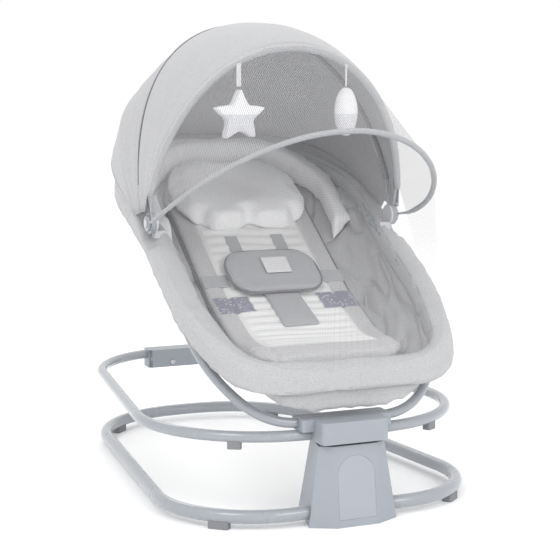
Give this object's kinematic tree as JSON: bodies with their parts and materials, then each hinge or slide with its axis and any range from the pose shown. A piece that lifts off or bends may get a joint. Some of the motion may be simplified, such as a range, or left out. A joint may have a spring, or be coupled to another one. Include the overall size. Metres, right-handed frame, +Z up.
{
  "type": "baby bouncer seat",
  "caption": "Swinging baby bouncer seat: floor loop with motor tower, cradle loop, reclining fabric tub with padded insert, folding canopy, insect net on a bow and hanging plush toys.",
  "frame": {"origin": "on the floor under the middle of the seat's bounding box", "axes": "+Z up; -Y towards the foot end with the motor tower, +Y towards the head end; left and right are mirror images across X"},
  "size_m": [0.5554, 0.85, 0.7943],
  "materials": {
    "tube_paint": "gloss",
    "tower_plastic": "satin",
    "cover_plastic": "satin",
    "foot_rubber": "matte",
    "axle_steel": "brushed",
    "coil_copper": "satin",
    "magnet_steel": "polished",
    "board_green": "satin",
    "dark_plastic": "satin",
    "hinge_plastic": "satin",
    "button_plastic": "gloss",
    "melange_fabric": "woven",
    "insert_fabric": "quilted",
    "plush_white": "soft",
    "bumper_fabric": "soft",
    "harness_fabric": "padded",
    "strap_web": "woven",
    "net_mesh": "mesh",
    "ribbon_white": "satin"
  },
  "bodies": {
    "base": {"base_front_tube_left": "tube_paint", "base_front_tube_right": "tube_paint", "base_rear_tube": "tube_paint", "joint_spigots": "tube_paint", "base_feet": "foot_rubber", "snap_buttons": "axle_steel", "tower_shell": "tower_plastic", "tower_cover": "cover_plastic", "tower_floor": "tower_plastic", "lower_bearing": "axle_steel", "upper_bearing": "axle_steel", "bearing_bridge": "dark_plastic", "drive_coil": "coil_copper", "coil_post": "dark_plastic", "circuit_board": "board_green", "power_inlet": "dark_plastic"},
    "swing_frame": {"swing_spindle": "axle_steel", "magnet_arm": "dark_plastic", "drive_magnets": "magnet_steel", "swing_head": "tower_plastic", "cradle_tube_left": "tube_paint", "cradle_tube_right": "tube_paint", "cradle_feet": "foot_rubber", "console_shell": "hinge_plastic", "console_plate": "hinge_plastic", "vibration_motor": "axle_steel", "button_switch": "dark_plastic", "yoke_bracket": "tower_plastic", "arm_left": "tube_paint", "arm_right": "tube_paint", "recline_disc_outer": "hinge_plastic", "recline_pins": "axle_steel"},
    "power_button": {"power_button": "button_plastic"},
    "recline_button_left": {"recline_button_left": "button_plastic"},
    "recline_button_right": {"recline_button_right": "button_plastic"},
    "seat": {"leg_frame": "tube_paint", "back_frame": "tube_paint", "tub_fabric": "melange_fabric", "fabric_rim": "melange_fabric", "seat_pad": "insert_fabric", "head_pillow": "plush_white", "head_bumper": "bumper_fabric", "crotch_pad": "harness_fabric", "crotch_strap": "harness_fabric", "shoulder_straps": "strap_web", "waist_straps": "strap_web", "buckle": "hinge_plastic", "recline_disc_inner": "hinge_plastic", "canopy_hub": "hinge_plastic", "canopy_rear_panel": "melange_fabric"},
    "canopy_mid": {"canopy_mid_hoop": "tube_paint"},
    "canopy_front": {"canopy_front_hoop": "tube_paint", "canopy_front_panel": "melange_fabric"},
    "net_bow": {"net_bow": "tube_paint", "net_upper": "net_mesh", "net_lower": "net_mesh"},
    "toy_star": {"toy_star": "plush_white", "star_ribbon": "ribbon_white"},
    "toy_leaf": {"toy_leaf": "plush_white", "leaf_cord": "ribbon_white"}
  },
  "joints": [
    {"name": "swing", "type": "hinge", "parent": "base", "child": "swing_frame", "pos_m": [0, -0.371, 0.1], "axis": [0, 0, 1], "range_deg": [-12, 12]},
    {"name": "recline", "type": "hinge", "parent": "swing_frame", "child": "seat", "pos_m": [0, -0.215, 0.338], "axis": [1, 0, 0], "range_deg": [-12, 0]},
    {"name": "recline_button_left_press", "type": "slide", "parent": "swing_frame", "child": "recline_button_left", "axis": [1, 0, 0], "range_m": [0, 0.004], "stiffness_N_per_m": 600},
    {"name": "recline_button_right_press", "type": "slide", "parent": "swing_frame", "child": "recline_button_right", "axis": [-1, 0, 0], "range_m": [0, 0.004], "stiffness_N_per_m": 600},
    {"name": "power_press", "type": "slide", "parent": "swing_frame", "child": "power_button", "axis": [0, 1, 0], "range_m": [0, 0.002], "stiffness_N_per_m": 500},
    {"name": "canopy_mid_fold", "type": "hinge", "parent": "seat", "child": "canopy_mid", "pos_m": [0, -0.092, 0.453], "axis": [1, 0, 0], "range_deg": [-15, 0], "deforming": ["canopy_rear_panel"]},
    {"name": "canopy_fold", "type": "hinge", "parent": "canopy_mid", "child": "canopy_front", "pos_m": [0, -0.092, 0.453], "axis": [1, 0, 0], "range_deg": [-30, 0], "deforming": ["canopy_front_panel"]},
    {"name": "net_bow_lift", "type": "hinge", "parent": "canopy_front", "child": "net_bow", "pos_m": [0, -0.092, 0.453], "axis": [1, 0, 0], "range_deg": [-40, 0], "deforming": ["net_upper", "net_lower"]},
    {"name": "star_swing", "type": "hinge", "parent": "canopy_front", "child": "toy_star", "pos_m": [-0.097, -0.17, 0.717], "axis": [1, 0, 0], "range_deg": [-20, 20]},
    {"name": "leaf_swing", "type": "hinge", "parent": "canopy_front", "child": "toy_leaf", "pos_m": [0.097, -0.17, 0.717], "axis": [1, 0, 0], "range_deg": [-20, 20]}
  ],
  "couplings": [
    {"joint": "canopy_mid_fold", "follows": "canopy_fold", "ratio": 0.5},
    {"joint": "recline_button_right_press", "follows": "recline_button_left_press", "ratio": 1}
  ]
}
